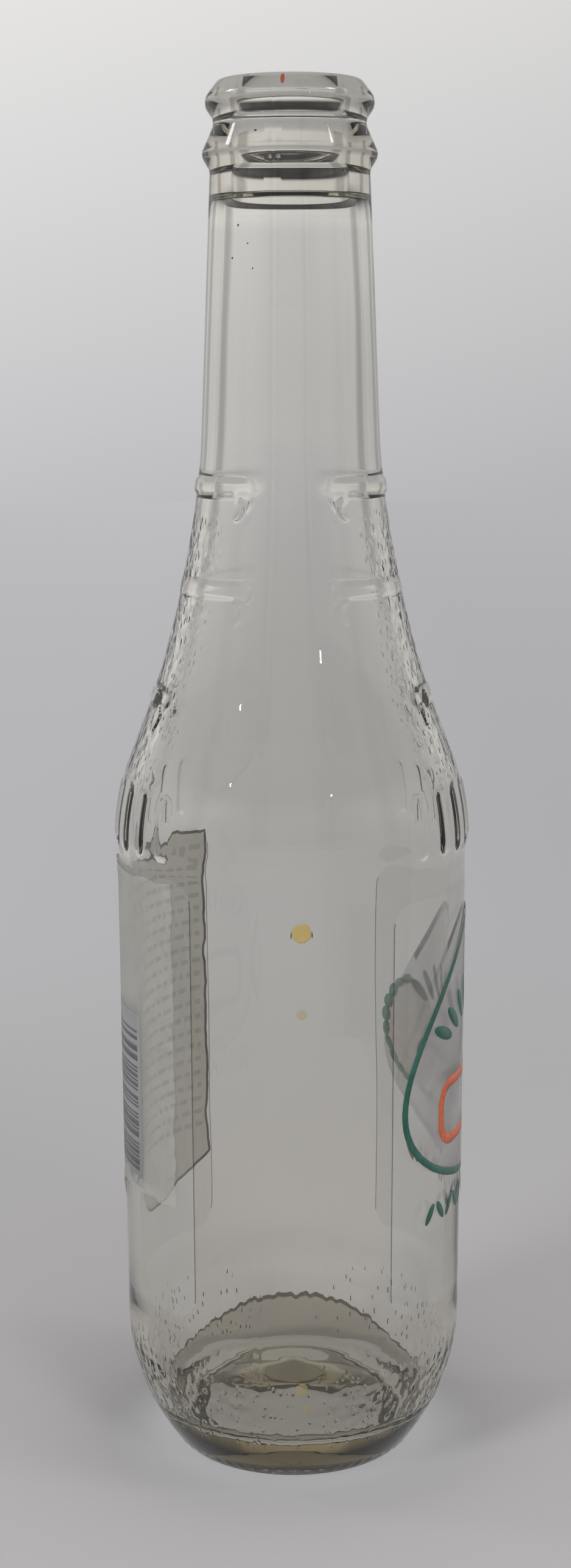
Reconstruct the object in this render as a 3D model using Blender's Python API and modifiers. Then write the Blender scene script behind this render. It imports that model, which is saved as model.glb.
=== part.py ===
"""Soda bottle of clear glass with a crown finish and two clear film labels.

Metres, +Z up. The origin is the centre of the circle that the bottle stands on.
The front label faces +X, the back label faces -X, and the plain side faces -Y.
"""

import math

import bmesh
import bpy
from mathutils import Matrix, Vector

# Finish, measured down from the sealing lip. Radii run to the corners before these are rounded
HEIGHT = 0.2300
BORE_RADIUS = 0.0094
BORE_DEPTH = 0.0172
BORE_ROUND = 0.0005
LIP_RADIUS = 0.0113
LIP_ROUND = 0.0015
LOCK_RING_RADIUS = 0.0139
LOCK_RING_DROP = 0.0034
LOCK_RING_ROUND = 0.0021
WAIST_RADIUS = 0.01183
WAIST_DROP = 0.0028
WAIST_ROUND = 0.0017
COLLAR_RADIUS = 0.0139
COLLAR_DROP = 0.0044
COLLAR_BAND = 0.0009
COLLAR_ROUND = 0.0018
COLLAR_UNDERCUT = 0.0019
NECK_ROOT_ROUND = 0.0016

# Neck and shoulder: the shoulder stands on the contact band and the neck takes what is left of the height
NECK_TOP_RADIUS = 0.01272
SHOULDER_TOP_RADIUS = 0.0156
SHOULDER_TOP_ROUND = 0.137
SHOULDER_LENGTH = 0.0361
SHOULDER_FOOT_ROUND = 0.032

# Body, label panel and heel: the heel bends twice, at its own height and at the foot
CONTACT_RADIUS = 0.02985
CONTACT_BAND = 0.0065
PANEL_RECESS = 0.00028
PANEL_TOP_SLOPE = 0.0030
PANEL_LENGTH = 0.0787
PANEL_FOOT = 0.0293
PANEL_FOOT_SLOPE = 0.0030
PANEL_ROUND = 0.0100
HEEL_INSET = 0.00018
HEEL_HEIGHT = 0.0198
HEEL_ROUND = 0.0308
FOOT_INSET = 0.00437
FOOT_HEIGHT = 0.0061
FOOT_ROUND = 0.0308

# Base: the bottle stands on the bearing ring, and the push-up is the hollow inside that ring
BEARING_INSET = 0.0094
BEARING_WIDTH = 0.0026
BEARING_OUTER_ROUND = 0.0010
BEARING_INNER_ROUND = 0.0006
PUSH_UP_INSET = 0.0017
PUSH_UP_STEP = 0.0026
PUSH_UP_STEP_ROUND = 0.0030
PUSH_UP_CROWN = 0.0052

# Glass thickness: the wall leans in down the heel, the floor is domed, and the neck's bore ends in a ledge
NECK_WALL = 0.0021
SHOULDER_WALL = 0.0023
BODY_WALL = 0.0024
FLARE_LENGTH = 0.0006
FLARE_ROUND = 0.0004
HEEL_WALL_TOP = 0.0205
HEEL_WALL_ROUND = 0.0200
HEEL_WALL_LEAN = 0.0038
FLOOR_EDGE_HEIGHT = 0.0076
FLOOR_EDGE_ROUND = 0.0030
FLOOR_CROWN_WALL = 0.0078

# Raised bands on the front and back of the shoulder: height over the shoulder's foot, and half of the span
BAND_TIERS = ((0.0511, 58.0), (0.0351, 46.0), (0.0173, 34.0))
BAND_WIDTH = 0.0032
BAND_RISE = 0.00050
BAND_ROOT = 0.00080
BAND_FLANK = 0.0007
BAND_STEP_DEGREES = 4.0
BAND_END_SHARE = 0.3

# Raised upright bars on the front and back, where the shoulder meets the contact band
BARS_PER_SIDE = 9
BAR_PITCH_DEGREES = 11.0
BAR_DROP = 0.0023
BAR_LENGTH = 0.0108
BAR_WIDTH = 0.0027
BAR_RISE = 0.00030
BAR_SIDES = 8
BAR_RINGS = 6

# Knurls round the foot, just above the bearing ring
KNURLS = 56
KNURL_HEIGHT = 0.0013
KNURL_LENGTH = 0.0018
KNURL_WIDTH = 0.0009
KNURL_RISE = 0.00015
KNURL_SIDES = 4
KNURL_RINGS = 2

# Film labels
LABEL_GAP = 0.00010
LABEL_THICKNESS = 0.00012
LABEL_WIDTH = 0.0582
LABEL_CORNER = 0.0040
LABEL_CORNER_STEPS = 5
FRONT_TOP_MARGIN = 0.0047
BACK_TOP_MARGIN = 0.0008
LABEL_FOOT_MARGIN = 0.0020
LABEL_STRIPS = 24

# Fineness of the round forms
CHORD_TOLERANCE = 0.0001
TURNS = 56
WELD = 0.00001
SHARP_DEGREES = 30.0

FRONT = 0.0
BACK = math.pi


def clear_scene():
    """Empty the file of its starting objects."""
    for item in list(bpy.data.objects):
        bpy.data.objects.remove(item, do_unlink=True)


def make_collection(name):
    """A new collection in the scene."""
    collection = bpy.data.collections.new(name)
    bpy.context.scene.collection.children.link(collection)
    return collection


def make_material(name, colour, roughness, alpha, transmission, ior):
    """A Principled material with the piece's own colour and gloss."""
    material = bpy.data.materials.new(name)
    material.use_nodes = True
    shader = material.node_tree.nodes["Principled BSDF"]
    shader.inputs["Base Color"].default_value = (*colour, 1.0)
    shader.inputs["Roughness"].default_value = roughness
    shader.inputs["Metallic"].default_value = 0.0
    shader.inputs["Alpha"].default_value = alpha
    shader.inputs["Transmission Weight"].default_value = transmission
    shader.inputs["IOR"].default_value = ior
    return material


def add_object(name, mesh, collection, material=None):
    """An object for a mesh, in its collection."""
    item = bpy.data.objects.new(name, mesh)
    collection.objects.link(item)
    if material is not None:
        mesh.materials.append(material)
    return item


def rounded_outline(corners):
    """Points of an outline through corners (radius, height, fillet), with an arc at each inner corner.

    A fillet is limited by the straight runs beside it.
    """
    places = [Vector((radius, height)) for radius, height, _ in corners]
    fillets = [fillet for _, _, fillet in corners]
    turns = [0.0] * len(corners)
    reaches = [0.0] * len(corners)
    for i in range(1, len(corners) - 1):
        before = places[i] - places[i - 1]
        after = places[i + 1] - places[i]
        turns[i] = before.angle(after)
        reaches[i] = fillets[i] * math.tan(turns[i] / 2)
    limits = [1.0] * len(corners)
    for i in range(len(corners) - 1):
        run = (places[i + 1] - places[i]).length
        wanted = reaches[i] + reaches[i + 1]
        if wanted > run:
            limits[i] = min(limits[i], run / wanted)
            limits[i + 1] = min(limits[i + 1], run / wanted)
    points = [places[0]]
    for i in range(1, len(corners) - 1):
        points += corner_arc(places[i - 1], places[i], places[i + 1], fillets[i] * limits[i], turns[i])
    points.append(places[-1])
    return points


def corner_arc(before, corner, after, fillet, turn):
    """Points of the arc that rounds one corner."""
    if fillet <= CHORD_TOLERANCE:
        return [corner]
    incoming = (corner - before).normalized()
    outgoing = (after - corner).normalized()
    start = corner - incoming * fillet * math.tan(turn / 2)
    side = 1.0 if incoming.cross(outgoing) > 0 else -1.0
    to_centre = Vector((-incoming.y, incoming.x)) * side
    centre = start + to_centre * fillet
    widest_step = 2 * math.acos(1 - CHORD_TOLERANCE / fillet)
    steps = max(1, math.ceil(turn / widest_step))
    spoke = start - centre
    return [centre + spoke @ Matrix.Rotation(-side * turn * k / steps, 2) for k in range(steps + 1)]


def panel_radius():
    """Radius of the recessed panel that carries the labels."""
    return CONTACT_RADIUS - PANEL_RECESS


def panel_top():
    """Height of the label panel's upper end."""
    return PANEL_FOOT + PANEL_LENGTH


def shoulder_foot():
    """Height at which the shoulder's slope meets the contact band."""
    return panel_top() + PANEL_TOP_SLOPE + CONTACT_BAND


def shoulder_top():
    """Height at which the neck's taper meets the shoulder's slope."""
    return shoulder_foot() + SHOULDER_LENGTH


def neck_top():
    """Height at which the neck meets the underside of the finish."""
    return HEIGHT - LOCK_RING_DROP - WAIST_DROP - COLLAR_DROP - COLLAR_BAND - COLLAR_UNDERCUT


def neck_radius(height):
    """Outer radius of the tapered neck at a height."""
    share = (neck_top() - height) / (neck_top() - shoulder_top())
    return NECK_TOP_RADIUS + (SHOULDER_TOP_RADIUS - NECK_TOP_RADIUS) * share


def finish_corners():
    """Outside of the finish, from the sealing lip down to the neck."""
    lock_ring = HEIGHT - LOCK_RING_DROP
    waist = lock_ring - WAIST_DROP
    collar = waist - COLLAR_DROP
    return [
        (LIP_RADIUS, HEIGHT, LIP_ROUND),
        (LOCK_RING_RADIUS, lock_ring, LOCK_RING_ROUND),
        (WAIST_RADIUS, waist, WAIST_ROUND),
        (COLLAR_RADIUS, collar, COLLAR_ROUND),
        (COLLAR_RADIUS, collar - COLLAR_BAND, COLLAR_ROUND),
        (NECK_TOP_RADIUS, neck_top(), NECK_ROOT_ROUND),
    ]


def body_corners():
    """Outside of the shoulder, the label panel and the heel, downwards."""
    heel_radius = CONTACT_RADIUS - HEEL_INSET
    return [
        (SHOULDER_TOP_RADIUS, shoulder_top(), SHOULDER_TOP_ROUND),
        (CONTACT_RADIUS, shoulder_foot(), SHOULDER_FOOT_ROUND),
        (CONTACT_RADIUS, panel_top() + PANEL_TOP_SLOPE, PANEL_ROUND),
        (panel_radius(), panel_top(), PANEL_ROUND),
        (panel_radius(), PANEL_FOOT, PANEL_ROUND),
        (heel_radius, PANEL_FOOT - PANEL_FOOT_SLOPE, PANEL_ROUND),
        (heel_radius, HEEL_HEIGHT, HEEL_ROUND),
        (CONTACT_RADIUS - FOOT_INSET, FOOT_HEIGHT, FOOT_ROUND),
    ]


def base_corners():
    """Underside, from the outer edge of the bearing ring to the middle of the push-up."""
    bearing_outer = CONTACT_RADIUS - BEARING_INSET
    bearing_inner = bearing_outer - BEARING_WIDTH
    return [
        (bearing_outer, 0.0, BEARING_OUTER_ROUND),
        (bearing_inner, 0.0, BEARING_INNER_ROUND),
        (bearing_inner - PUSH_UP_INSET, PUSH_UP_STEP, PUSH_UP_STEP_ROUND),
        (0.0, PUSH_UP_CROWN, 0.0),
    ]


def inner_corners():
    """Inside of the bottle, from the middle of the floor up to the mouth."""
    flare_top = HEIGHT - BORE_DEPTH
    flare_foot = flare_top - FLARE_LENGTH
    body_bore = panel_radius() - BODY_WALL
    return [
        (0.0, PUSH_UP_CROWN + FLOOR_CROWN_WALL, 0.0),
        (body_bore - HEEL_WALL_LEAN, FLOOR_EDGE_HEIGHT, FLOOR_EDGE_ROUND),
        (body_bore, HEEL_WALL_TOP, HEEL_WALL_ROUND),
        (body_bore, shoulder_foot(), SHOULDER_FOOT_ROUND - SHOULDER_WALL),
        (SHOULDER_TOP_RADIUS - SHOULDER_WALL, shoulder_top(), SHOULDER_TOP_ROUND),
        (neck_radius(flare_foot) - NECK_WALL, flare_foot, FLARE_ROUND),
        (BORE_RADIUS, flare_top, FLARE_ROUND),
        (BORE_RADIUS, HEIGHT, BORE_ROUND),
    ]


def surface_radius(outline, height):
    """Outer radius of the bottle where the outline crosses a height, read from the lip down."""
    for upper, lower in zip(outline, outline[1:]):
        if upper.y >= height > lower.y:
            share = (upper.y - height) / (upper.y - lower.y)
            return upper.x + (lower.x - upper.x) * share
    return outline[0].x


def turned_body(name, outline, collection, material):
    """A solid turned from an outline whose two ends lie on the Z axis."""
    mesh = bpy.data.meshes.new(name)
    shape = bmesh.new()
    verts = [shape.verts.new((point.x, 0.0, point.y)) for point in outline]
    for start, end in zip(verts, verts[1:]):
        shape.edges.new((start, end))
    shape.to_mesh(mesh)
    shape.free()
    item = add_object(name, mesh, collection, material)
    screw = item.modifiers.new("Turn", "SCREW")
    screw.axis = "Z"
    screw.steps = TURNS
    screw.render_steps = TURNS
    screw.use_merge_vertices = True
    screw.merge_threshold = WELD
    screw.use_smooth_shade = True
    return item


def add_band(shape, outline, centre, half_span, facing):
    """Add one raised band that lies round the shoulder and sinks into the glass at both ends."""
    half = BAND_WIDTH / 2
    low = surface_radius(outline, centre - half)
    high = surface_radius(outline, centre + half)
    crest_low = surface_radius(outline, centre - half + BAND_FLANK) + BAND_RISE
    crest_high = surface_radius(outline, centre + half - BAND_FLANK) + BAND_RISE
    section = [
        Vector((low - BAND_ROOT, 0.0, centre - half)),
        Vector((crest_low, 0.0, centre - half + BAND_FLANK)),
        Vector((crest_high, 0.0, centre + half - BAND_FLANK)),
        Vector((high - BAND_ROOT, 0.0, centre + half)),
    ]
    root = (section[0] + section[3]) / 2
    start = Matrix.Rotation(facing - half_span, 3, "Z")
    verts = [shape.verts.new(start @ point) for point in section]
    steps = math.ceil(2 * half_span / math.radians(BAND_STEP_DEGREES))
    made = bmesh.ops.spin(
        shape,
        geom=[shape.faces.new(verts)],
        axis=(0.0, 0.0, 1.0),
        angle=2 * half_span,
        steps=steps,
    )
    last = [item for item in made["geom_last"] if isinstance(item, bmesh.types.BMVert)]
    finish = Matrix.Rotation(facing + half_span, 3, "Z")
    for ring, turn in ((verts, start), (last, finish)):
        hub = turn @ root
        for vert in ring:
            vert.co = hub + (vert.co - hub) * BAND_END_SHARE


def add_grain(shape, outline, angle, height, size, sides, rings):
    """Add one raised grain: a stretched ball of half sizes (out, across, along) that is half sunk in the glass."""
    reach = size[2] / 2
    low = surface_radius(outline, height - reach)
    high = surface_radius(outline, height + reach)
    lean = math.atan2(high - low, 2 * reach)
    out = Matrix.Translation((surface_radius(outline, height), 0.0, height))
    placed = Matrix.Rotation(angle, 4, "Z") @ out @ Matrix.Rotation(lean, 4, "Y")
    bmesh.ops.create_uvsphere(
        shape,
        u_segments=sides,
        v_segments=rings,
        radius=1.0,
        matrix=placed @ Matrix.Diagonal((*size, 1.0)),
    )


def mould_relief(outline, collection):
    """The bands, bars and knurls of the mould, as one set of solids that is joined to the glass."""
    mesh = bpy.data.meshes.new("mould_relief")
    shape = bmesh.new()
    bar = (BAR_RISE, BAR_WIDTH / 2, BAR_LENGTH / 2)
    knurl = (KNURL_RISE, KNURL_WIDTH / 2, KNURL_LENGTH / 2)
    for facing in (FRONT, BACK):
        for rise, half_degrees in BAND_TIERS:
            add_band(shape, outline, shoulder_foot() + rise, math.radians(half_degrees), facing)
        for k in range(BARS_PER_SIDE):
            angle = facing + math.radians((k - (BARS_PER_SIDE - 1) / 2) * BAR_PITCH_DEGREES)
            add_grain(shape, outline, angle, shoulder_foot() - BAR_DROP, bar, BAR_SIDES, BAR_RINGS)
    for k in range(KNURLS):
        add_grain(shape, outline, math.tau * k / KNURLS, KNURL_HEIGHT, knurl, KNURL_SIDES, KNURL_RINGS)
    bmesh.ops.recalc_face_normals(shape, faces=shape.faces)
    shape.to_mesh(mesh)
    shape.free()
    relief = add_object("mould_relief", mesh, collection)
    relief.display_type = "WIRE"
    relief.hide_render = True
    return relief


def settle(item, material):
    """Turn an object's modifiers into its mesh, shaded smooth with its crisp edges kept."""
    graph = bpy.context.evaluated_depsgraph_get()
    mesh = bpy.data.meshes.new_from_object(item.evaluated_get(graph))
    item.modifiers.clear()
    item.data = mesh
    mesh.materials.clear()
    mesh.materials.append(material)
    mesh.shade_smooth()
    mesh.set_sharp_from_angle(angle=math.radians(SHARP_DEGREES))


def glass_bottle(parts, tools, material):
    """The blown glass container: one wall from the floor over the lip to the push-up, with its relief."""
    inside = inner_corners()
    outside = [*finish_corners(), *body_corners(), *base_corners()]
    outline = rounded_outline([*inside, *outside])
    bottle = turned_body("glass_bottle", outline, parts, material)
    join = bottle.modifiers.new("Relief", "BOOLEAN")
    join.operation = "UNION"
    join.solver = "EXACT"
    join.object = mould_relief(rounded_outline([inside[-1], *outside]), tools)
    settle(bottle, material)
    return bottle


def film_label(name, facing, top_margin, collection, material):
    """A thin film with rounded corners, bent round the panel."""
    foot = PANEL_FOOT + LABEL_FOOT_MARGIN
    top = panel_top() - top_margin
    shape = bmesh.new()
    bmesh.ops.create_grid(shape, x_segments=1, y_segments=1, size=1.0)
    bmesh.ops.scale(shape, vec=(LABEL_WIDTH / 2, (top - foot) / 2, 1.0), verts=shape.verts)
    bmesh.ops.bevel(
        shape,
        geom=list(shape.verts),
        offset=LABEL_CORNER,
        offset_type="OFFSET",
        segments=LABEL_CORNER_STEPS,
        profile=0.5,
        affect="VERTICES",
    )
    for k in range(1, LABEL_STRIPS):
        place = LABEL_WIDTH * (k / LABEL_STRIPS - 0.5)
        everything = [*shape.verts, *shape.edges, *shape.faces]
        bmesh.ops.bisect_plane(
            shape, geom=everything, dist=WELD, plane_co=(place, 0.0, 0.0), plane_no=(1.0, 0.0, 0.0)
        )
    radius = panel_radius() + LABEL_GAP
    for vert in shape.verts:
        angle = facing + vert.co.x / radius
        height = (foot + top) / 2 + vert.co.y
        vert.co = Vector((radius * math.cos(angle), radius * math.sin(angle), height))
    bmesh.ops.recalc_face_normals(shape, faces=shape.faces)
    outward = Vector((math.cos(facing), math.sin(facing), 0.0))
    shape.normal_update()
    if sum(face.normal.dot(outward) for face in shape.faces) < 0:
        bmesh.ops.reverse_faces(shape, faces=shape.faces)
    mesh = bpy.data.meshes.new(name)
    shape.to_mesh(mesh)
    shape.free()
    mesh.shade_smooth()
    mesh.set_sharp_from_angle(angle=math.radians(SHARP_DEGREES))
    label = add_object(name, mesh, collection, material)
    skin = label.modifiers.new("Film", "SOLIDIFY")
    skin.thickness = LABEL_THICKNESS
    skin.offset = 1.0
    skin.use_even_offset = True
    return label


def build():
    """Make the bottle and its two labels."""
    clear_scene()
    parts = make_collection("soda_bottle")
    tools = make_collection("soda_bottle_tools")
    clear_glass = make_material("clear_glass", (0.90, 0.91, 0.88), 0.02, 1.0, 1.0, 1.52)
    front_film = make_material("printed_front_film", (0.80, 0.84, 0.80), 0.20, 0.45, 0.0, 1.50)
    back_film = make_material("printed_back_film", (0.66, 0.66, 0.62), 0.25, 0.60, 0.0, 1.50)
    glass_bottle(parts, tools, clear_glass)
    film_label("front_label", FRONT, FRONT_TOP_MARGIN, parts, front_film)
    film_label("back_label", BACK, BACK_TOP_MARGIN, parts, back_film)


build()
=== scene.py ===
"""Dressed model of a soda bottle of clear flint glass with two printed film labels.

The glass with its mould relief and stipple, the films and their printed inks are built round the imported
frame. Metres, +Z up. The front label faces +X, the back label faces -X and the camera looks along +Y.
"""

import logging
import math
import random
from dataclasses import dataclass
from enum import Enum

import bmesh
import bpy
from mathutils import Matrix, Vector, noise
from mathutils.bvhtree import BVHTree

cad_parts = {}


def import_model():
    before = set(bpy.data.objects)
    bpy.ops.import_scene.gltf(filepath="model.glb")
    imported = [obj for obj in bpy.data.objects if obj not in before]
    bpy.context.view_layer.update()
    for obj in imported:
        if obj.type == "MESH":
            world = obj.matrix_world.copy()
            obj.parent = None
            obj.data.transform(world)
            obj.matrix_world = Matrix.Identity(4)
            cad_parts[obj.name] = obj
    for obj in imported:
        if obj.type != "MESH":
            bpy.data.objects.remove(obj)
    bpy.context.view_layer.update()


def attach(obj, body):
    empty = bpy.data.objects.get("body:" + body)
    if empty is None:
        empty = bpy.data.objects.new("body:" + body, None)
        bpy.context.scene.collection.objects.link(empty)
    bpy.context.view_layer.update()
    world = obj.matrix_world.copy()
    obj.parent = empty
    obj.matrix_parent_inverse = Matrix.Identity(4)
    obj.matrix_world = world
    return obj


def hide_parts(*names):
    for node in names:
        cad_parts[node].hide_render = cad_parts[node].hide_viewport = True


MM = 0.001
SMOOTH_TOLERANCE = 0.01 * MM
WELD = 0.001 * MM
BODY = "root"

log = logging.getLogger("soda_bottle")


class Slot(Enum):
    """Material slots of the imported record."""

    GLASS = "clear_glass"
    FRONT = "printed_front_film"
    BACK = "printed_back_film"


class Side(Enum):
    """The way a label faces, as an angle round the bottle from +X."""

    FRONT = 0.0
    BACK = math.pi


class FilmFace(Enum):
    """Material index of a film label's faces."""

    CLEAR = 0
    CUT = 1


class PanelFace(Enum):
    """Material index of the back panel's faces."""

    GREY = 0
    FROST = 1
    TORN = 2


class DriedFace(Enum):
    """Material index of the faces of the tinted film inside, whose rim is painted shade."""

    HEEL = 0
    PAINTED_SHADE_RIM = 1
    FLOOR = 2


def linear(colour: str) -> tuple[float, float, float, float]:
    """Turn an sRGB hex colour to linear values.

    Args:
        colour: The colour as #rrggbb.

    Returns:
        Red, green, blue and an alpha of 1.
    """
    shares = [int(colour[place : place + 2], 16) / 255 for place in (1, 3, 5)]
    red, green, blue = (s / 12.92 if s <= 0.04045 else ((s + 0.055) / 1.055) ** 2.4 for s in shares)
    return red, green, blue, 1.0


def smooth(low: float, high: float, value: float) -> float:
    """Rise smoothly from 0 at low to 1 at high.

    Args:
        low: Value where the rise starts.
        high: Value where it ends.
        value: Value to place on the rise.

    Returns:
        A share from 0 to 1.
    """
    share = min(1.0, max(0.0, (value - low) / (high - low)))
    return share * share * (3.0 - 2.0 * share)


@dataclass(frozen=True)
class Ramp:
    """A change from one level to another while a value runs from low to high."""

    low: float
    high: float
    start: float = 0.0
    stop: float = 1.0

    def at(self, value: float) -> float:
        """Level at a value, for a change that starts and stops smoothly."""
        return self.start + (self.stop - self.start) * smooth(self.low, self.high, value)

    def inputs(self, value: bpy.types.Node | bpy.types.NodeSocket) -> dict[str, object]:
        """Inputs that make a node change the level by the value of another."""
        bounds = {"From Min": self.low, "From Max": self.high, "To Min": self.start, "To Max": self.stop}
        return {"Value": value, **bounds}


def add_node(
    tree: bpy.types.NodeTree, kind: str, inputs: dict[str | int, object] | None = None, **settings: object
) -> bpy.types.Node:
    """Add one node with its settings, and set or link its inputs.

    Args:
        tree: Tree that takes the node.
        kind: Type of the node, without the ShaderNode before it.
        inputs: By the input's name or number, its value, or an output socket or the node to link it to.
        **settings: Properties of the node.

    Returns:
        The new node.
    """
    node = tree.nodes.new("ShaderNode" + kind)
    for name, setting in settings.items():
        setattr(node, name, setting)
    for socket, value in (inputs or {}).items():
        if isinstance(value, bpy.types.Node):
            value = value.outputs[0]
        if isinstance(value, bpy.types.NodeSocket):
            tree.links.new(value, node.inputs[socket])
        else:
            node.inputs[socket].default_value = value
    return node


def new_material(name: str) -> tuple[bpy.types.Material, bpy.types.NodeTree]:
    """Start a material without nodes.

    Args:
        name: Name of the material.

    Returns:
        The material and its empty node tree.
    """
    material = bpy.data.materials.new(name)
    material.use_nodes = True
    material.node_tree.nodes.clear()
    return material, material.node_tree


def add_piece(
    name: str, shape: bmesh.types.BMesh, materials: list[bpy.types.Material], slot: Slot | None
) -> bpy.types.Object:
    """Turn a finished bmesh into a smooth object at the origin.

    Args:
        name: Name of the piece.
        shape: The mesh, which is freed.
        materials: Its materials, in the order of its face indices.
        slot: Slot of the record, which is only read to keep the stage, given as None, off the bottle's body.

    Returns:
        The new object, which rides on the bottle's body unless it belongs to the stage.
    """
    mesh = bpy.data.meshes.new(name)
    shape.to_mesh(mesh)
    shape.free()
    mesh.shade_smooth()
    for material in materials:
        mesh.materials.append(material)
    piece = bpy.data.objects.new(name, mesh)
    bpy.context.scene.collection.objects.link(piece)
    if slot is None:
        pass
    else:
        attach(piece, BODY)
    return piece


def round_corners(
    shape: bmesh.types.BMesh, corners: list[bmesh.types.BMVert], reach: float, segments: int
) -> None:
    """Round corners of a wire or of flat faces.

    Args:
        shape: Mesh that holds them.
        corners: The corners.
        reach: How much of each side the rounding takes.
        segments: Number of straight parts.
    """
    bmesh.ops.bevel(
        shape,
        geom=corners,
        offset=reach,
        offset_type="OFFSET",
        segments=segments,
        profile=0.5,
        affect="VERTICES",
        material=-1,
    )


# ---------------------------------------------------------------------------------------- finishes


@dataclass(frozen=True)
class FlintGlass:
    """Soda-lime flint glass, blown in an iron mould and fire polished.

    The eye sees a nearly colourless body that turns olive where it is thick, slow waves, and short upright
    dashes where the mould was stippled.
    """

    name: str = "blown_flint_glass"
    colour: str = "#ffffff"
    thick_colour: str = "#bfb388"
    density: float = 60.0
    ior: float = 1.52
    dash: float = 0.95 * MM
    dash_stretch: float = 0.42
    dash_round: Ramp = Ramp(0.1, 0.36, 1.0, 0.0)
    dash_lot: Ramp = Ramp(0.3, 0.6)
    dash_depth: float = 0.2 * MM
    ripple: float = 14.0 * MM
    ripple_depth: float = 0.035 * MM

    def stipple(self, tree: bpy.types.NodeTree, place: bpy.types.NodeSocket) -> bpy.types.Node:
        """Draw the mould's dashes: stretched cells, of which about half hold a dash.

        Args:
            tree: Tree that takes the nodes.
            place: Object coordinates.

        Returns:
            The node that gives the height, from 0 to 1, where the mould was stippled.
        """
        mask = add_node(tree, "Attribute", attribute_name="stipple").outputs["Fac"]
        squeezed = add_node(tree, "Mapping", {"Vector": place, "Scale": (1.0, 1.0, self.dash_stretch)})
        cells = add_node(tree, "TexVoronoi", {"Vector": squeezed, "Scale": 1 / self.dash})
        dash = add_node(tree, "MapRange", self.dash_round.inputs(cells), interpolation_type="SMOOTHSTEP")
        lot = add_node(tree, "SeparateColor", {"Color": cells.outputs["Color"]})
        kept = add_node(tree, "MapRange", self.dash_lot.inputs(lot))
        some = add_node(tree, "Math", {0: dash, 1: kept}, operation="MULTIPLY")
        return add_node(tree, "Math", {0: some, 1: mask}, operation="MULTIPLY")

    def make(self) -> bpy.types.Material:
        """Build the glass material.

        Returns:
            The material.
        """
        material, tree = new_material(self.name)
        place = add_node(tree, "TexCoord").outputs["Object"]
        ripple = add_node(tree, "TexNoise", {"Vector": place, "Scale": 1 / self.ripple, "Detail": 1.0})
        waves = add_node(tree, "Bump", {"Height": ripple, "Distance": self.ripple_depth, "Strength": 1.0})
        dashes = {"Height": self.stipple(tree, place), "Distance": self.dash_depth, "Strength": 1.0}
        surface = {
            "Base Color": linear(self.colour),
            "Transmission Weight": 1.0,
            "IOR": self.ior,
            "Roughness": 0.0,
            "Normal": add_node(tree, "Bump", {**dashes, "Normal": waves}),
        }
        shader = add_node(tree, "BsdfPrincipled", surface)
        inside = {"Color": linear(self.thick_colour), "Density": self.density}
        tint = add_node(tree, "VolumeAbsorption", inside)
        add_node(tree, "OutputMaterial", {"Surface": shader, "Volume": tint})
        return material


@dataclass(frozen=True)
class Film:
    """Clear biaxial polypropylene film, slit and glued on.

    The eye sees little but a faint milky veil, soft gloss and small wrinkles.
    """

    name: str
    colour: str
    alpha: float
    roughness: float = 0.22
    ior: float = 1.5
    wrinkle: float = 5.0 * MM
    wrinkle_depth: float = 0.05 * MM
    wrinkle_strength: float = 0.7

    def make(self) -> bpy.types.Material:
        """Build the film material.

        Returns:
            The material.
        """
        material, tree = new_material(self.name)
        place = add_node(tree, "TexCoord").outputs["Object"]
        noisy = {"Vector": place, "Scale": 1 / self.wrinkle, "Detail": 3.0}
        creases = {"Height": add_node(tree, "TexNoise", noisy), "Distance": self.wrinkle_depth}
        surface = {
            "Base Color": linear(self.colour),
            "Roughness": self.roughness,
            "IOR": self.ior,
            "Alpha": self.alpha,
            "Normal": add_node(tree, "Bump", {**creases, "Strength": self.wrinkle_strength}),
        }
        add_node(tree, "OutputMaterial", {"Surface": add_node(tree, "BsdfPrincipled", surface)})
        return material


@dataclass(frozen=True)
class Ink:
    """Flexographic ink on film, cured by light.

    The eye sees an even coat with the fine mottle that a rubber plate leaves, drawn here at 0.8 mm because
    the real 0.1 mm mottle is too fine to show.
    """

    name: str
    colour: str
    worn_colour: str
    alpha: float
    mottle: float = 0.8 * MM
    roughness: float = 0.35
    through: float = 0.0
    ior: float = 1.5
    broad_share: float = 0.12
    wear: Ramp = Ramp(0.15, 0.4)
    grain_depth: float = 0.01 * MM
    grain_strength: float = 0.5

    def make(self) -> bpy.types.Material:
        """Build the ink material.

        Returns:
            The material.
        """
        material, tree = new_material(self.name)
        place = add_node(tree, "TexCoord").outputs["Object"]
        fine = add_node(tree, "TexNoise", {"Vector": place, "Scale": 1 / self.mottle, "Detail": 2.0})
        wide = {"Vector": place, "Scale": self.broad_share / self.mottle, "Detail": 2.0}
        both = {0: fine, 1: add_node(tree, "TexNoise", wide)}
        patches = add_node(tree, "Math", both, operation="MULTIPLY")
        share = add_node(tree, "MapRange", self.wear.inputs(patches))
        tones = {0: share, 6: linear(self.worn_colour), 7: linear(self.colour)}
        grain = {"Height": fine, "Distance": self.grain_depth, "Strength": self.grain_strength}
        surface = {
            "Base Color": add_node(tree, "Mix", tones, data_type="RGBA").outputs[2],
            "Roughness": self.roughness,
            "IOR": self.ior,
            "Transmission Weight": self.through,
            "Alpha": self.alpha,
            "Normal": add_node(tree, "Bump", grain),
        }
        add_node(tree, "OutputMaterial", {"Surface": add_node(tree, "BsdfPrincipled", surface)})
        return material


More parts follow.
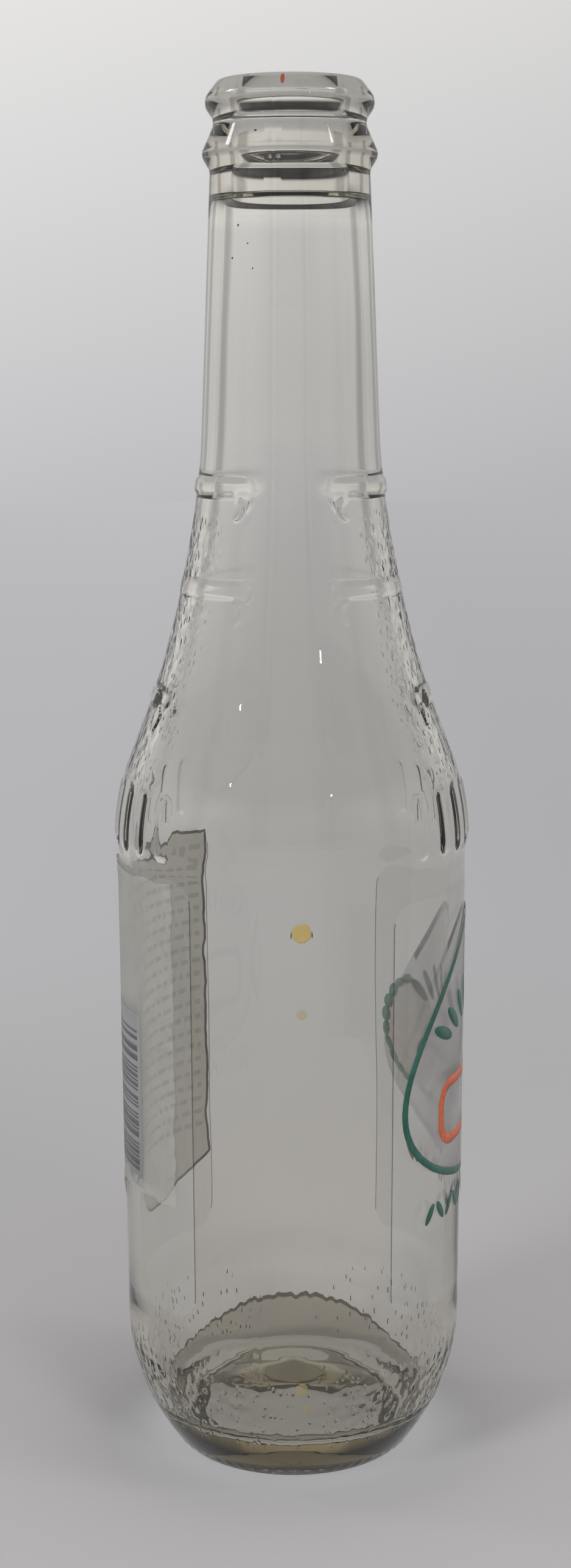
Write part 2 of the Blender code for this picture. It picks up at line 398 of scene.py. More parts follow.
@dataclass(frozen=True)
class DriedDrink:
    """Drink that dried on the glass.

    The eye sees a thin tinted skin, glossier at its raised rim; the darker copy on the rim of the heel's film
    is painted shade.
    """

    name: str
    colour: str
    alpha: float
    through: float = 0.5
    ior: float = 1.45
    roughness: float = 0.3

    def make(self) -> bpy.types.Material:
        """Build the material.

        Returns:
            The material.
        """
        material, tree = new_material(self.name)
        surface = {
            "Base Color": linear(self.colour),
            "Roughness": self.roughness,
            "IOR": self.ior,
            "Transmission Weight": self.through,
            "Alpha": self.alpha,
        }
        add_node(tree, "OutputMaterial", {"Surface": add_node(tree, "BsdfPrincipled", surface)})
        return material


# ------------------------------------------------------------------------------------ turned glass


@dataclass(frozen=True)
class Corner:
    """One corner of the turned outline, with the fillet that rounds it."""

    radius: float
    height: float
    fillet: float = 0.0


@dataclass
class CrownFinish:
    """Sealing lip, locking ring, waist and reinforcing collar, measured down from the mouth."""

    lip_radius: float = 11.3 * MM
    lip_round: float = 1.5 * MM
    ring_radius: float = 13.9 * MM
    ring_drop: float = 3.4 * MM
    ring_round: float = 2.1 * MM
    waist_radius: float = 11.83 * MM
    waist_drop: float = 2.8 * MM
    waist_round: float = 1.7 * MM
    collar_radius: float = 13.9 * MM
    collar_drop: float = 4.4 * MM
    collar_band: float = 0.9 * MM
    collar_round: float = 1.8 * MM
    undercut: float = 1.9 * MM
    neck_radius: float = 12.72 * MM
    neck_round: float = 1.6 * MM

    def foot(self, mouth: float) -> float:
        """Height at which the neck meets the finish."""
        return mouth - self.ring_drop - self.waist_drop - self.collar_drop - self.collar_band - self.undercut

    def corners(self, mouth: float) -> list[Corner]:
        """Outside corners from the lip down to the neck.

        Args:
            mouth: Height of the sealing lip.

        Returns:
            The corners.
        """
        ring = mouth - self.ring_drop
        waist = ring - self.waist_drop
        collar = waist - self.collar_drop
        return [
            Corner(self.lip_radius, mouth, self.lip_round),
            Corner(self.ring_radius, ring, self.ring_round),
            Corner(self.waist_radius, waist, self.waist_round),
            Corner(self.collar_radius, collar, self.collar_round),
            Corner(self.collar_radius, collar - self.collar_band, self.collar_round),
            Corner(self.neck_radius, self.foot(mouth), self.neck_round),
        ]


@dataclass
class Container:
    """Shoulder, label panel, heel and push-up base, with the bore inside them."""

    contact_radius: float = 29.85 * MM
    contact_band: float = 6.5 * MM
    panel_recess: float = 0.28 * MM
    panel_slope: float = 3.0 * MM
    panel_length: float = 78.7 * MM
    panel_foot: float = 29.3 * MM
    foot_slope: float = 3.0 * MM
    panel_round: float = 10.0 * MM
    heel_inset: float = 0.18 * MM
    heel_height: float = 19.8 * MM
    heel_round: float = 30.8 * MM
    foot_inset: float = 4.37 * MM
    foot_height: float = 6.1 * MM
    foot_round: float = 30.8 * MM
    shoulder_length: float = 36.1 * MM
    shoulder_radius: float = 15.6 * MM
    shoulder_round: float = 137.0 * MM
    shoulder_foot_round: float = 32.0 * MM
    bearing_inset: float = 9.4 * MM
    bearing_width: float = 2.6 * MM
    bearing_outer_round: float = 1.0 * MM
    bearing_inner_round: float = 0.6 * MM
    push_up_inset: float = 1.7 * MM
    push_up_step: float = 2.6 * MM
    push_up_round: float = 3.0 * MM
    push_up_crown: float = 5.2 * MM
    neck_wall: float = 2.1 * MM
    shoulder_wall: float = 2.3 * MM
    body_wall: float = 2.4 * MM
    heel_wall_top: float = 20.5 * MM
    heel_wall_round: float = 20.0 * MM
    heel_wall_lean: float = 3.8 * MM
    floor_edge_height: float = 7.6 * MM
    floor_edge_round: float = 3.0 * MM
    crown_wall: float = 7.8 * MM
    bore_radius: float = 9.4 * MM
    bore_depth: float = 17.2 * MM
    bore_round: float = 0.5 * MM
    flare: float = 0.6 * MM
    flare_round: float = 0.4 * MM

    @property
    def panel_radius(self) -> float:
        """Radius of the recessed label panel."""
        return self.contact_radius - self.panel_recess

    @property
    def panel_top(self) -> float:
        """Height of the label panel's upper end."""
        return self.panel_foot + self.panel_length

    @property
    def shoulder_foot(self) -> float:
        """Height at which the shoulder meets the contact band."""
        return self.panel_top + self.panel_slope + self.contact_band

    @property
    def shoulder_top(self) -> float:
        """Height at which the neck meets the shoulder."""
        return self.shoulder_foot + self.shoulder_length

    def outside(self) -> list[Corner]:
        """Outside corners from the shoulder down and in to the middle of the push-up.

        Returns:
            The corners.
        """
        heel = self.contact_radius - self.heel_inset
        bearing = self.contact_radius - self.bearing_inset
        inner = bearing - self.bearing_width
        return [
            Corner(self.shoulder_radius, self.shoulder_top, self.shoulder_round),
            Corner(self.contact_radius, self.shoulder_foot, self.shoulder_foot_round),
            Corner(self.contact_radius, self.panel_top + self.panel_slope, self.panel_round),
            Corner(self.panel_radius, self.panel_top, self.panel_round),
            Corner(self.panel_radius, self.panel_foot, self.panel_round),
            Corner(heel, self.panel_foot - self.foot_slope, self.panel_round),
            Corner(heel, self.heel_height, self.heel_round),
            Corner(self.contact_radius - self.foot_inset, self.foot_height, self.foot_round),
            Corner(bearing, 0.0, self.bearing_outer_round),
            Corner(inner, 0.0, self.bearing_inner_round),
            Corner(inner - self.push_up_inset, self.push_up_step, self.push_up_round),
            Corner(0.0, self.push_up_crown),
        ]

    def inside(self, mouth: float, neck_top: float, neck_radius: float) -> list[Corner]:
        """Inside corners from the middle of the floor up to the mouth.

        Args:
            mouth: Height of the sealing lip.
            neck_top: Height at which the neck meets the finish.
            neck_radius: Outer radius there.

        Returns:
            The corners.
        """
        bore = self.panel_radius - self.body_wall
        flare_top = mouth - self.bore_depth
        flare_foot = flare_top - self.flare
        share = (neck_top - flare_foot) / (neck_top - self.shoulder_top)
        outer = neck_radius + (self.shoulder_radius - neck_radius) * share
        return [
            Corner(0.0, self.push_up_crown + self.crown_wall),
            Corner(bore - self.heel_wall_lean, self.floor_edge_height, self.floor_edge_round),
            Corner(bore, self.heel_wall_top, self.heel_wall_round),
            Corner(bore, self.shoulder_foot, self.shoulder_foot_round - self.shoulder_wall),
            Corner(self.shoulder_radius - self.shoulder_wall, self.shoulder_top, self.shoulder_round),
            Corner(outer - self.neck_wall, flare_foot, self.flare_round),
            Corner(self.bore_radius, flare_top, self.flare_round),
            Corner(self.bore_radius, mouth, self.bore_round),
        ]


@dataclass(frozen=True)
class Band:
    """One raised band: its height over the shoulder's foot, its hook's place, its end and share of rise."""

    lift: float
    hook: float
    end: float
    share: float


@dataclass
class MouldRelief:
    """Raised bands, bars, stipple, knurls and parting lines that the mould leaves on the outside.

    Heights of the heel and foot are over the table, and those of the shoulder's relief over the shoulder's
    foot. Angles run from the middle of the nearer label.
    """

    shoulder_foot: float
    bands: tuple[Band, ...] = (
        Band(51.1 * MM, math.radians(54), math.radians(76), 0.9),
        Band(35.1 * MM, math.radians(60), math.radians(73), 0.35),
        Band(17.3 * MM, math.radians(22), math.radians(25), 0.9),
    )
    band_width: float = 3.2 * MM
    band_rise: float = 0.5 * MM
    band_lap: float = 0.1
    hook_radius: float = 1.7 * MM
    hook_width: float = 1.3 * MM
    hook_share: float = 0.7
    hook_drop: float = 2.5
    hook_arc: tuple[float, float] = (-1.1, 1.3)
    flank: float = 0.8 * MM
    bars: int = 9
    bar_pitch: float = math.radians(11)
    bar_drop: float = 2.3 * MM
    bar_length: float = 10.8 * MM
    bar_width: float = 2.7 * MM
    bar_rise: float = 0.25 * MM
    pebble: float = 1.7 * MM
    pebble_rise: float = 0.12 * MM
    pebble_round: Ramp = Ramp(0.7, 0.1)
    heel_foot: Ramp = Ramp(6.5 * MM, 9.5 * MM)
    heel_top: Ramp = Ramp(25.0 * MM, 18.0 * MM)
    plain_share: Ramp = Ramp(15.0 * MM, 11.0 * MM, 0.3, 0.65)
    plain_side: Ramp = Ramp(math.radians(88), math.radians(88) - 0.35)
    face_share: float = 0.6
    face_side: Ramp = Ramp(math.radians(42), math.radians(42) - 0.25)
    face_foot: Ramp = Ramp(3.0 * MM, 6.0 * MM)
    face_top: Ramp = Ramp(49.0 * MM, 43.0 * MM)
    clear: Ramp = Ramp(0.02 * MM, 0.2 * MM, 1.0, 0.0)
    base_radius: float = 18.0 * MM
    base_height: float = 20.0 * MM
    knurls: int = 56
    knurl_height: float = 1.3 * MM
    knurl_reach: float = 0.9 * MM
    knurl_rise: float = 0.15 * MM
    knurl_round: Ramp = Ramp(0.5, 0.9)
    knurl_top: float = 2.4 * MM
    seam_angle: float = math.radians(-95 * 360 / 336)
    seam_rise: float = 0.06 * MM
    seam_width: float = 0.5 * MM
    seam_foot: float = 3.0 * MM
    seam_radius: float = 12.0 * MM

    def side_angle(self, angle: float) -> float:
        """Signed angle from the middle of the nearer label."""
        return math.remainder(angle, math.pi)

    def seam_distance(self, angle: float, radius: float) -> float:
        """Distance round the bottle from the nearer parting line."""
        return abs(math.remainder(angle - self.seam_angle, math.pi)) * radius

    def hook(self, along: float, up: float) -> float:
        """Measure the distance from the small hook that hangs from a band and bows away from its middle.

        Args:
            along: Distance round the bottle from the hook's own middle.
            up: Height over the band's centre.

        Returns:
            The distance.
        """
        drop = up + self.band_width / 2 + self.hook_radius
        first, last = self.hook_arc
        held = max(first, min(last, math.atan2(drop, along)))
        return math.hypot(along - self.hook_radius * math.cos(held), drop - self.hook_radius * math.sin(held))

    def band_relief(self, angle: float, height: float, radius: float) -> float:
        """Raise the bands and their hooks.

        Args:
            angle: Angle round the bottle.
            height: Height.
            radius: Distance from the axis.

        Returns:
            The rise there.
        """
        rise = 0.0
        half = self.band_width / 2
        turn = abs(self.side_angle(angle))
        for band in self.bands:
            up = height - self.shoulder_foot - band.lift
            if abs(up) > half + self.hook_drop * self.hook_radius:
                continue
            bar = smooth(half, half - self.flank, abs(up)) * smooth(band.end, band.hook - self.band_lap, turn)
            away = self.hook((turn - band.hook) * radius, up)
            hook = self.hook_share * smooth(self.hook_width / 2, 0.0, away)
            rise = max(rise, band.share * bar, band.share * hook)
        return rise * self.band_rise

    def bar_row(self, angle: float, height: float, radius: float) -> float:
        """Raise the upright bars where the shoulder meets the contact band.

        Args:
            angle: Angle round the bottle.
            height: Height.
            radius: Distance from the axis.

        Returns:
            The rise there.
        """
        up = abs(height - self.shoulder_foot + self.bar_drop)
        place = self.side_angle(angle) / self.bar_pitch
        nearest = round(place)
        if up > self.bar_length / 2 or abs(nearest) > (self.bars - 1) / 2:
            return 0.0
        across = abs(place - nearest) * self.bar_pitch * radius
        half = self.bar_width / 2
        away = math.hypot(across, max(up - self.bar_length / 2 + half, 0.0))
        return self.bar_rise * smooth(half, half - self.flank, away)

    def stipple_share(self, angle: float, height: float) -> float:
        """Spread the stipple round the heel, less on its plain sides, and over both faces of the shoulder.

        Args:
            angle: Angle round the bottle.
            height: Height.

        Returns:
            The stipple's share there, from 0 to 1.
        """
        turn = abs(self.side_angle(angle))
        plain = self.plain_share.at(height)
        heel = self.heel_foot.at(height) * self.heel_top.at(height)
        heel *= plain + (1.0 - plain) * self.plain_side.at(turn)
        up = height - self.shoulder_foot
        face = self.face_side.at(turn) * self.face_foot.at(up) * self.face_top.at(up)
        return max(heel, self.face_share * face)

    def knurl(self, angle: float, height: float) -> float:
        """Rise of the knurls round the foot."""
        wave = self.knurl_round.at(0.5 + 0.5 * math.cos(angle * self.knurls))
        return self.knurl_rise * wave * smooth(self.knurl_reach, 0.0, abs(height - self.knurl_height))

    def rise(self, place: Vector) -> tuple[float, float]:
        """Add up the relief at a place on the outside.

        Args:
            place: The place.

        Returns:
            The rise in metres, and the share of stipple from 0 to 1.
        """
        radius = math.hypot(place.x, place.y)
        angle = math.atan2(place.y, place.x)
        total = max(self.band_relief(angle, place.z, radius), self.bar_row(angle, place.z, radius))
        under = radius <= self.base_radius and place.z <= self.base_height
        share = 0.0 if under else self.stipple_share(angle, place.z) * self.clear.at(total)
        if radius > self.seam_radius and place.z > self.seam_foot:
            total += self.seam_rise * smooth(self.seam_width, 0.0, self.seam_distance(angle, radius))
        if share > 0.0:
            nearest = noise.voronoi(place / self.pebble)[0][0]
            total += share * self.pebble_rise * self.pebble_round.at(nearest)
        if place.z < self.knurl_top and radius > self.base_radius:
            total += self.knurl(angle, place.z)
        return total, share


@dataclass
class GlassBottle:
    """The blown container: one wall from the floor over the lip to the push-up."""

    finish: CrownFinish
    container: Container
    relief: MouldRelief
    height: float = 230.0 * MM
    turns: int = 168
    fine_row: float = 1.25 * MM
    coarse_row: float = 5.0 * MM
    fine_heel: float = 30.0 * MM
    fine_shoulder: tuple[float, float] = (-9.0 * MM, 55.0 * MM)
    heel_zone: float = 26.0 * MM
    bar_zone: tuple[float, float] = (-8.5 * MM, 54.0 * MM)
    bar_turn: float = math.radians(45)
    band_zone: tuple[float, float] = (28.0 * MM, 54.0 * MM)
    band_turn: float = math.radians(77)
    seam_zone: float = 1.4 * MM
    longest_share: float = 0.999
    wave: float = 22.0 * MM
    wave_depth: float = 0.2 * MM

    def corners(self) -> tuple[list[Corner], int]:
        """All corners from the middle of the floor over the mouth to the push-up.

        Returns:
            The corners, and how many of them are inside.
        """
        neck_top = self.finish.foot(self.height)
        inside = self.container.inside(self.height, neck_top, self.finish.neck_radius)
        outside = [*self.finish.corners(self.height), *self.container.outside()]
        return [*inside, *outside], len(inside)

    def row(self, height: float, outside: bool) -> float:
        """Choose the spacing of the rows, which is fine where the outside has relief.

        Args:
            height: Height.
            outside: Whether the rows are on the outside.

        Returns:
            The spacing.
        """
        low, high = self.fine_shoulder
        relief = height < self.fine_heel or low < height - self.container.shoulder_foot < high
        return self.fine_row if outside and relief else self.coarse_row

    def fit(self, reaches: list[float], runs: list[Vector]) -> list[float]:
        """Shrink fillets that don't fit on the straight runs between them.

        Args:
            reaches: Length that each corner's fillet takes of both its runs.
            runs: The runs between the corners.

        Returns:
            The share of its fillet that each corner keeps.
        """
        shares = [1.0] * len(reaches)
        for count, run in enumerate(runs):
            wanted = reaches[count] + reaches[count + 1]
            room = run.length * self.longest_share
            if wanted > room:
                shares[count] = min(shares[count], room / wanted)
                shares[count + 1] = min(shares[count + 1], room / wanted)
        return shares

    def outline(self) -> bmesh.types.BMesh:
        """Draw the outline as a wire with rounded corners and even rows.

        Returns:
            The wire, whose vertices carry a skin value of 1 on the outside.
        """
        corners, inner = self.corners()
        shape = bmesh.new()
        skin = shape.verts.layers.float.new("skin")
        verts = []
        for count, corner in enumerate(corners):
            vert = shape.verts.new((corner.radius, 0.0, corner.height))
            vert[skin] = 0.0 if count < inner else 1.0
            verts.append(vert)
        for start, end in zip(verts, verts[1:]):
            shape.edges.new((start, end))
        places = [vert.co.copy() for vert in verts]
        runs = [after - before for before, after in zip(places, places[1:])]
        turns = [0.0, *(before.angle(after) for before, after in zip(runs, runs[1:])), 0.0]
        reaches = [corner.fillet * math.tan(turn / 2) for corner, turn in zip(corners, turns)]
        for count, share in enumerate(self.fit(reaches, runs)):
            reach = reaches[count] * share
            if reach < 5 * SMOOTH_TOLERANCE:
                continue
            fillet = corners[count].fillet * share
            widest = 2 * math.acos(1 - SMOOTH_TOLERANCE / fillet)
            spacing = self.row(places[count].z, count >= inner)
            segments = max(2, math.ceil(turns[count] / widest), math.ceil(turns[count] * fillet / spacing))
            round_corners(shape, [verts[count]], reach, segments)
        for edge in list(shape.edges):
            first, second = edge.verts
            middle = (first.co + second.co) / 2
            spacing = self.row(middle.z, first[skin] + second[skin] > 1.5)
            cuts = math.ceil(edge.calc_length() / spacing - 0.01) - 1
            if cuts > 0:
                bmesh.ops.subdivide_edges(shape, edges=[edge], cuts=cuts)
        return shape

    def refine(self, shape: bmesh.types.BMesh) -> None:
        """Halve the faces where the mould left relief or stipple.

        Args:
            shape: The turned glass.
        """
        skin = shape.verts.layers.float["skin"]
        chosen = set()
        for face in shape.faces:
            if min(vert[skin] for vert in face.verts) < 0.5:
                continue
            middle = face.calc_center_median()
            angle = math.atan2(middle.y, middle.x)
            radius = math.hypot(middle.x, middle.y)
            turn = abs(self.relief.side_angle(angle))
            up = middle.z - self.container.shoulder_foot
            heel = middle.z < self.heel_zone and radius > self.relief.base_radius
            bars = turn < self.bar_turn and self.bar_zone[0] < up < self.bar_zone[1]
            bands = turn < self.band_turn and self.band_zone[0] < up < self.band_zone[1]
            near = self.relief.seam_distance(angle, radius) < self.seam_zone
            if heel or bars or bands or (near and radius > self.relief.seam_radius):
                chosen.update(face.edges)
        halved = [edge for edge in shape.edges if edge in chosen]
        bmesh.ops.subdivide_edges(shape, edges=halved, cuts=1, use_grid_fill=True)

    def press(self, shape: bmesh.types.BMesh) -> None:
        """Move the skin by the relief, and the bore by the slow waves of blown glass.

        Args:
            shape: The turned glass.
        """
        shape.normal_update()
        skin = shape.verts.layers.float["skin"]
        stipple = shape.verts.layers.float.new("stipple")
        moves = []
        for vert in shape.verts:
            if vert[skin] > 0.5:
                rise, vert[stipple] = self.relief.rise(vert.co)
            else:
                rise = self.wave_depth * noise.noise(vert.co / self.wave)
            moves.append((vert, vert.normal * rise))
        for vert, move in moves:
            vert.co += move

    def build(self, glass: bpy.types.Material) -> bpy.types.Object:
        """Turn, press and place the glass.

        Args:
            glass: Its material.

        Returns:
            The piece that stands for the CAD glass.
        """
        shape = self.outline()
        bmesh.ops.spin(
            shape,
            geom=[*shape.verts, *shape.edges],
            cent=(0.0, 0.0, 0.0),
            axis=(0.0, 0.0, 1.0),
            angle=math.tau,
            steps=self.turns,
            use_merge=True,
        )
        bmesh.ops.remove_doubles(shape, verts=shape.verts, dist=WELD)
        bmesh.ops.recalc_face_normals(shape, faces=shape.faces)
        self.refine(shape)
        self.press(shape)
        piece = add_piece("blown_glass", shape, [glass], Slot.GLASS)
        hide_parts("glass_bottle")
        return piece


# ------------------------------------------------------------------------------------------ labels


@dataclass
class Wrap:
    """The cylinder that films and inks are wrapped on."""

    side: Side
    film_radius: float = 29.68 * MM
    strip: float = 1.0 * MM

    def bend(self, shape: bmesh.types.BMesh, lift: float, thickness: float) -> None:
        """Bend a flat shape round the bottle and give it a thickness.

        Args:
            shape: Flat faces in X, the distance round the bottle, and Y, the height.
            lift: Height of the layer's underside over the film's underside.
            thickness: Thickness of the layer.
        """
        reach = max((abs(vert.co.x) for vert in shape.verts), default=0.0)
        count = math.ceil(reach / self.strip)
        for step in range(-count, count + 1):
            bmesh.ops.bisect_plane(
                shape,
                geom=[*shape.verts, *shape.edges, *shape.faces],
                dist=WELD,
                plane_co=(step * self.strip, 0.0, 0.0),
                plane_no=(1.0, 0.0, 0.0),
            )
        bmesh.ops.recalc_face_normals(shape, faces=shape.faces)
        if sum(face.normal.z for face in shape.faces) < 0:
            bmesh.ops.reverse_faces(shape, faces=shape.faces)
        radius = self.film_radius + lift
        bmesh.ops.solidify(shape, geom=list(shape.faces), thickness=-thickness)
        for vert in shape.verts:
            angle = self.side.value + vert.co.x / self.film_radius
            out = radius + abs(vert.co.z)
            vert.co = Vector((out * math.cos(angle), out * math.sin(angle), vert.co.y))
        bmesh.ops.recalc_face_normals(shape, faces=shape.faces)


def rounded_sheet(
    shape: bmesh.types.BMesh, centre: tuple[float, float], half: tuple[float, float], corner: float
) -> None:
    """Add a flat sheet with rounded corners.

    Args:
        shape: Mesh that takes it.
        centre: Middle, as distance round the bottle and height.
        half: Half of its width and height.
        corner: Radius of its corners.
    """
    place = Matrix.Translation((*centre, 0.0)) @ Matrix.Diagonal((*half, 1.0, 1.0))
    made = bmesh.ops.create_grid(shape, x_segments=1, y_segments=1, size=1.0, matrix=place)
    round_corners(shape, made["verts"], corner, 6)


def disc(
    shape: bmesh.types.BMesh,
    centre: tuple[float, float],
    half: tuple[float, float],
    turn: float = 0.0,
    segments: int = 48,
) -> None:
    """Add a flat ellipse.

    Args:
        shape: Mesh that takes it.
        centre: Middle, as distance round the bottle and height.
        half: Half of its width and height.
        turn: Angle that it is turned by.
        segments: Number of sides.
    """
    place = Matrix.Translation((*centre, 0.0)) @ Matrix.Rotation(turn, 4, "Z")
    place = place @ Matrix.Diagonal((*half, 1.0, 1.0))
    bmesh.ops.create_circle(shape, cap_ends=True, segments=segments, radius=1.0, matrix=place)


def hollow(shape: bmesh.types.BMesh, line: float) -> None:
    """Leave only an even line round each flat face.

    Args:
        shape: Mesh of flat faces.
        line: Width of the line.
    """
    faces = list(shape.faces)
    bmesh.ops.inset_individual(shape, faces=faces, thickness=line, use_even_offset=True)
    bmesh.ops.delete(shape, geom=faces, context="FACES")


@dataclass
class FilmLabel:
    """One film, cut with rounded corners, whose glue shows as a dull line at both side edges."""

    wrap: Wrap
    top: float
    width: float = 58.2 * MM
    foot: float = 31.3 * MM
    corner: float = 4.0 * MM
    edge: float = 0.17 * MM
    thickness: float = 0.06 * MM

    def build(
        self, name: str, film: bpy.types.Material, cut: bpy.types.Material, slot: Slot, node: str
    ) -> bpy.types.Object:
        """Cut, bend and place the film.

        Args:
            name: Name of the piece.
            film: Material of the film.
            cut: Material of its cut edge.
            slot: Slot of the record.
            node: The CAD node that it stands for.

        Returns:
            The piece.
        """
        shape = bmesh.new()
        middle = (self.foot + self.top) / 2
        rounded_sheet(shape, (0.0, middle), (self.width / 2, (self.top - self.foot) / 2), self.corner)
        inner = list(shape.faces)
        bmesh.ops.inset_region(
            shape, faces=inner, thickness=self.edge, use_boundary=True, use_even_offset=True
        )
        for face in shape.faces:
            side = abs(face.calc_center_median().x) > self.width / 2 - self.edge
            part = FilmFace.CUT if side and face not in inner else FilmFace.CLEAR
            face.material_index = part.value
        self.wrap.bend(shape, 0.0, self.thickness)
        piece = add_piece(name, shape, [film, cut], slot)
        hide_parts(node)
        return piece


@dataclass
class LabelPrint:
    """Inks that lie on one film, each layer on those under it."""

    wrap: Wrap
    slot: Slot
    ink_lift: float = 0.065 * MM
    ink_step: float = 0.016 * MM
    ink_thickness: float = 0.012 * MM

    def layer(
        self, name: str, shape: bmesh.types.BMesh, level: int, *inks: bpy.types.Material
    ) -> bpy.types.Object:
        """Bend one flat ink layer onto the film and place it.

        Args:
            name: Name of the piece.
            shape: Its flat faces.
            level: How many layers lie under it.
            *inks: Its materials, in the order of its face indices.

        Returns:
            The piece.
        """
        self.wrap.bend(shape, self.ink_lift + level * self.ink_step, self.ink_thickness)
        return add_piece(name, shape, list(inks), self.slot)


@dataclass
class FrontPrint(LabelPrint):
    """Generic print of the front: a green oval with an orange band and leaves, and one pale fruit."""

    centre: float = 75.0 * MM
    oval: tuple[float, float] = (25.2 * MM, 23.5 * MM)
    narrowing: float = 0.42
    oval_line: float = 1.3 * MM
    band_drop: float = 10.0 * MM
    band: tuple[float, float] = (17.5 * MM, 6.0 * MM)
    band_corner: float = 4.5 * MM
    band_line: float = 1.8 * MM
    fruit: tuple[float, float] = (17.8 * MM, 71.0 * MM)
    fruit_half: tuple[float, float] = (8.6 * MM, 10.0 * MM)
    fruit_clear: float = 1.45
    scallops: int = 15
    scallop_turns: tuple[int, int] = (-150, 16)
    scallop_half: float = 1.5 * MM
    spray: tuple[float, float] = (1.1 * MM, 3.4 * MM)
    spray_pitch: float = 4.0 * MM
    spray_lift: float = 4.5 * MM
    spray_fan: float = 0.3
    row: tuple[float, float] = (0.75 * MM, 2.1 * MM)
    row_pitch: float = 3.3 * MM
    row_drop: float = 27.0 * MM
    row_lean: float = 0.6

    def build(self) -> list[bpy.types.Object]:
        """Print all layers.

        Returns:
            The pieces.
        """
        green = Ink("dark_green_ink", "#1d5748", "#2f6a5a", 0.96).make()
        orange = Ink("orange_red_ink", "#d2552b", "#dd6d42", 0.96).make()
        white = Ink("translucent_white_ink", "#eceaeb", "#f3f2f2", 0.5, 1.2 * MM, 0.3, 0.8, 1.1).make()
        peach = Ink("translucent_peach_ink", "#f4bc9c", "#ece0c8", 0.3, 2.5 * MM, 0.3, 0.9, 1.1).make()
        rind = Ink("translucent_green_ink", "#4f9c89", "#7cb5a6", 0.75, 1.5 * MM, 0.35, 0.75, 1.1).make()
        ring = self.egg()
        hollow(ring, self.oval_line)
        covered = [face for face in ring.faces if self.in_fruit(face.calc_center_median())]
        bmesh.ops.delete(ring, geom=covered, context="FACES")
        band = bmesh.new()
        rounded_sheet(band, (0.0, self.centre - self.band_drop), self.band, self.band_corner)
        hollow(band, self.band_line)
        fruit = bmesh.new()
        disc(fruit, self.fruit, self.fruit_half)
        return [
            self.layer("front_print_fruit", fruit, 0, peach),
            self.layer("front_print_rind", self.rind(), 1, rind),
            self.layer("front_print_field", self.egg(), 2, white),
            self.layer("front_print_oval", ring, 3, green),
            self.layer("front_print_band", band, 3, orange),
            self.layer("front_print_leaves", self.leaves(), 3, green),
        ]

    def in_fruit(self, place: Vector) -> bool:
        """Whether a place on the label lies on the fruit or close to it."""
        across = (place.x - self.fruit[0]) / self.fruit_half[0]
        return math.hypot(across, (place.y - self.fruit[1]) / self.fruit_half[1]) < self.fruit_clear

    def egg(self) -> bmesh.types.BMesh:
        """Draw the oval, which narrows towards its top like an egg.

        Returns:
            One flat face.
        """
        shape = bmesh.new()
        disc(shape, (0.0, self.centre), self.oval, segments=96)
        for vert in shape.verts:
            vert.co.x *= 1.0 - self.narrowing * (vert.co.y - self.centre) / self.oval[1]
        return shape

    def rind(self) -> bmesh.types.BMesh:
        """Draw the fruit's scalloped rind: a row of leaf shapes that lie along its outer edge.

        Returns:
            Flat faces.
        """
        shape = bmesh.new()
        dice = random.Random(5)
        first, pitch = self.scallop_turns
        for count in range(self.scallops):
            turn = math.radians(first + count * pitch)
            place = (
                self.fruit[0] + self.fruit_half[0] * math.cos(turn),
                self.fruit[1] + self.fruit_half[1] * math.sin(turn),
            )
            width = (0.4 + 0.7 * max(0.0, math.sin(turn * 0.6 + 1.1))) * dice.uniform(0.8, 1.2) * MM
            lean = dice.uniform(-0.2, 0.2)
            disc(shape, place, (width, self.scallop_half), turn + lean, segments=16)
        return shape

    def leaves(self) -> bmesh.types.BMesh:
        """Draw the leaves: a spray over the oval's band, and a row under the oval.

        Returns:
            Flat faces.
        """
        shape = bmesh.new()
        for count in range(-4, 5):
            lift = self.centre + self.spray_lift * (1.0 + math.cos(count * 0.4))
            disc(shape, (count * self.spray_pitch, lift), self.spray, -count * self.spray_fan, segments=20)
        for count in range(-6, 7):
            lean = self.row_lean if count % 2 else -self.row_lean
            disc(shape, (count * self.row_pitch, self.centre - self.row_drop), self.row, lean, segments=16)
        return shape


